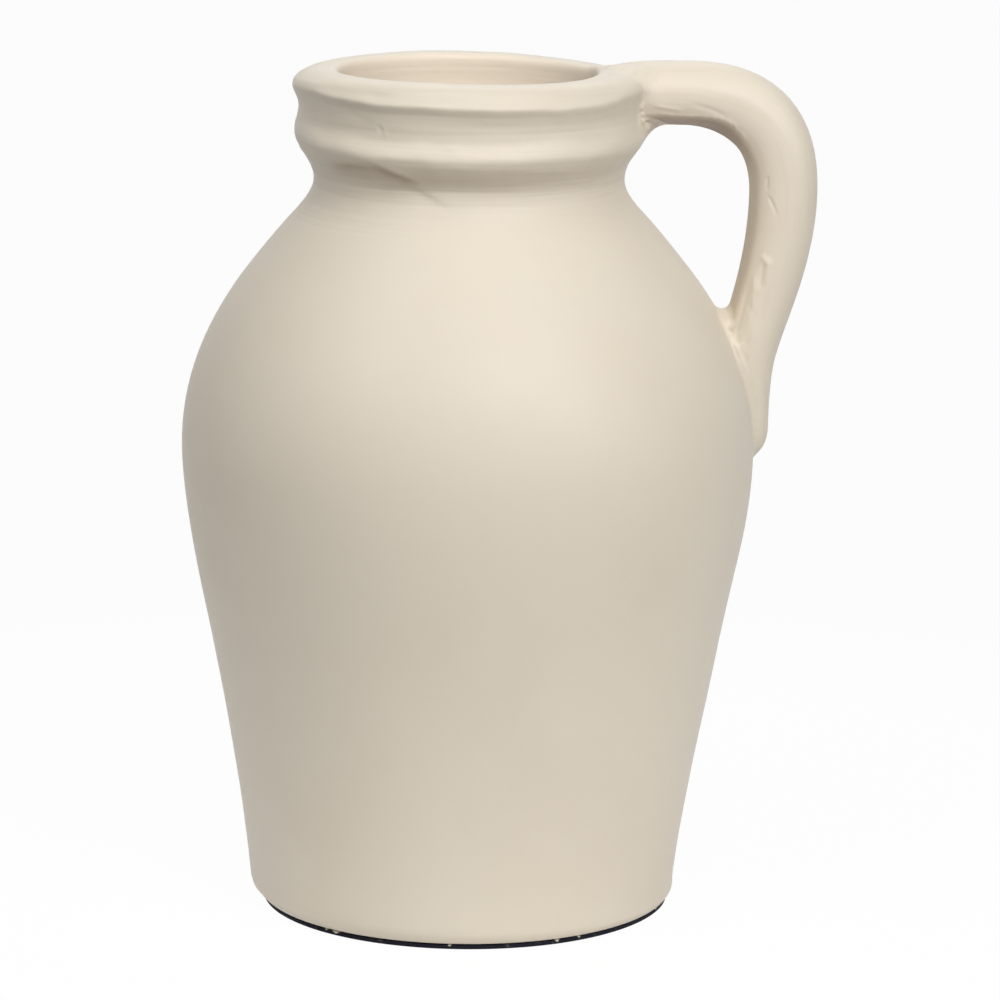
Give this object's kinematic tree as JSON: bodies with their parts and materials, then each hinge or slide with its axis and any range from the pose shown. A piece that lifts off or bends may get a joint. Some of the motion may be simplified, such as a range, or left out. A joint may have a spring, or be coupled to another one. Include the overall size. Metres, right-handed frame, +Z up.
{
  "type": "jug vase",
  "caption": "Hand-thrown terracotta jug vase with a broad belly, narrow waist, ridged neck, thick rolled lip and a pulled side handle, painted matt cream, on a thin dark pad.",
  "frame": {"origin": "centre of the base pad's underside, on the pot's axis", "axes": "+Z up along the pot's axis, +X towards the handle, the picture looks along +Y"},
  "size_m": [0.2251, 0.204, 0.3037],
  "materials": {
    "painted_terracotta": "fired earthenware under brushed matt cream paint, with faint throwing lines",
    "pad_foam": "matt blue-black closed foam sheet",
    "adhesive_film": "dull translucent adhesive film"
  },
  "bodies": {
    "root": {"vase_body": "painted_terracotta", "handle": "painted_terracotta", "upper_joint_clay": "painted_terracotta", "lower_joint_clay": "painted_terracotta", "base_pad": "pad_foam", "pad_adhesive": "adhesive_film"}
  },
  "joints": []
}
